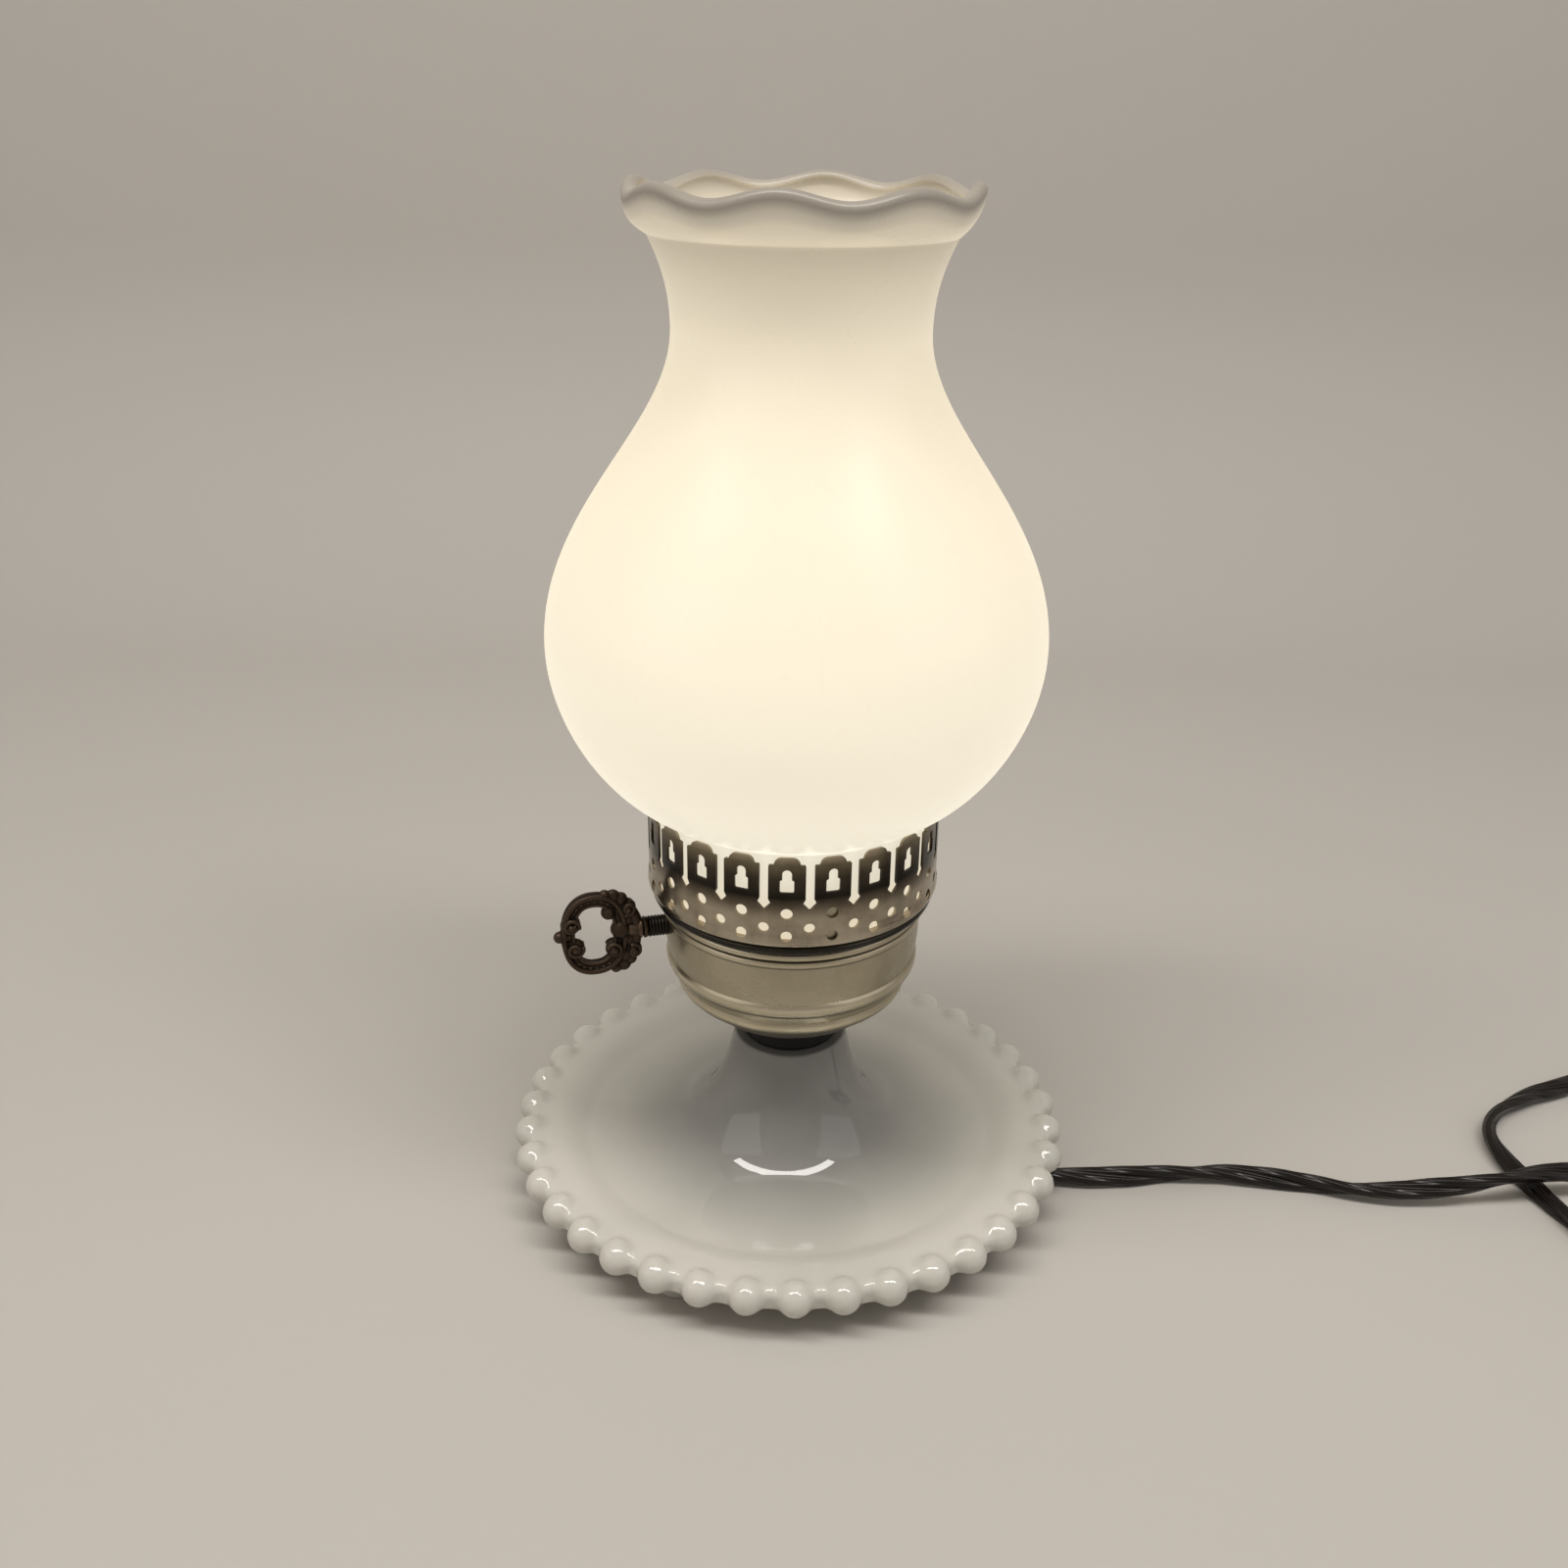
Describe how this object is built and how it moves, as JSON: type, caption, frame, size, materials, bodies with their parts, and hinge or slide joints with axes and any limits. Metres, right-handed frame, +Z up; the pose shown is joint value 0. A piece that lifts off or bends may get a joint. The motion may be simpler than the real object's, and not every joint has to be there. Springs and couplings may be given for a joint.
{
  "type": "hurricane lamp",
  "caption": "Electric hurricane table lamp: beaded milk-glass base, plated burner with a pierced gallery and scroll turn key, and a satin opal chimney shade with a scalloped mouth.",
  "frame": {"origin": "centre of the three feet on the table, under the lamp's axis", "axes": "+Z up along the lamp's axis; -Y is the front; the key points to -X and a little forward; the cord leaves along +X"},
  "size_m": [0.4223, 0.2067, 0.2818],
  "materials": {
    "milk_glass": "gloss",
    "opal_glass": "satin",
    "frosted_glass": "satin",
    "clear_glass": "gloss",
    "nickel_plate": "polished",
    "antique_bronze": "satin",
    "brass": "satin",
    "steel": "satin",
    "aluminium": "satin",
    "black_plastic": "matte",
    "phenolic": "satin",
    "cord_brown": "satin"
  },
  "bodies": {
    "base": {"glass_base": "milk_glass", "lower_washer": "steel", "hex_nut": "brass", "threaded_nipple": "brass", "neck_spacer": "black_plastic", "burner_cup": "nickel_plate", "gallery": "nickel_plate", "gallery_strap": "nickel_plate", "key_bushing": "antique_bronze", "contact_leaf": "brass", "socket_cap": "brass", "socket_body": "phenolic", "terminal_screws": "brass", "screw_shell": "brass", "centre_contact": "brass", "lead_wires": "cord_brown", "cord_run": "cord_brown", "cord_coil": "cord_brown", "cord_tail": "cord_brown", "cord_tie": "black_plastic", "plug_body": "cord_brown", "plug_blades": "brass"},
    "key": {"key_bow": "antique_bronze", "key_shaft": "antique_bronze", "switch_rotor": "phenolic"},
    "bulb": {"bulb_glass": "frosted_glass", "bulb_cap": "aluminium", "bulb_insulator": "black_plastic", "bulb_tip": "brass", "bulb_filament": "clear_glass"},
    "shade": {"shade_collar": "opal_glass", "glass_shade": "opal_glass", "shade_mouth": "opal_glass"}
  },
  "joints": [
    {"name": "key_turn", "type": "hinge", "parent": "base", "child": "key", "pos_m": [0, 0, 0.0857], "axis": [-0.9659, -0.2588, 0], "continuous": true},
    {"name": "shade_lift", "type": "slide", "parent": "base", "child": "shade", "axis": [0, 0, 1], "range_m": [0, 0.115]},
    {"name": "bulb_lift", "type": "slide", "parent": "base", "child": "bulb", "axis": [0, 0, 1], "range_m": [0, 0.026]}
  ]
}
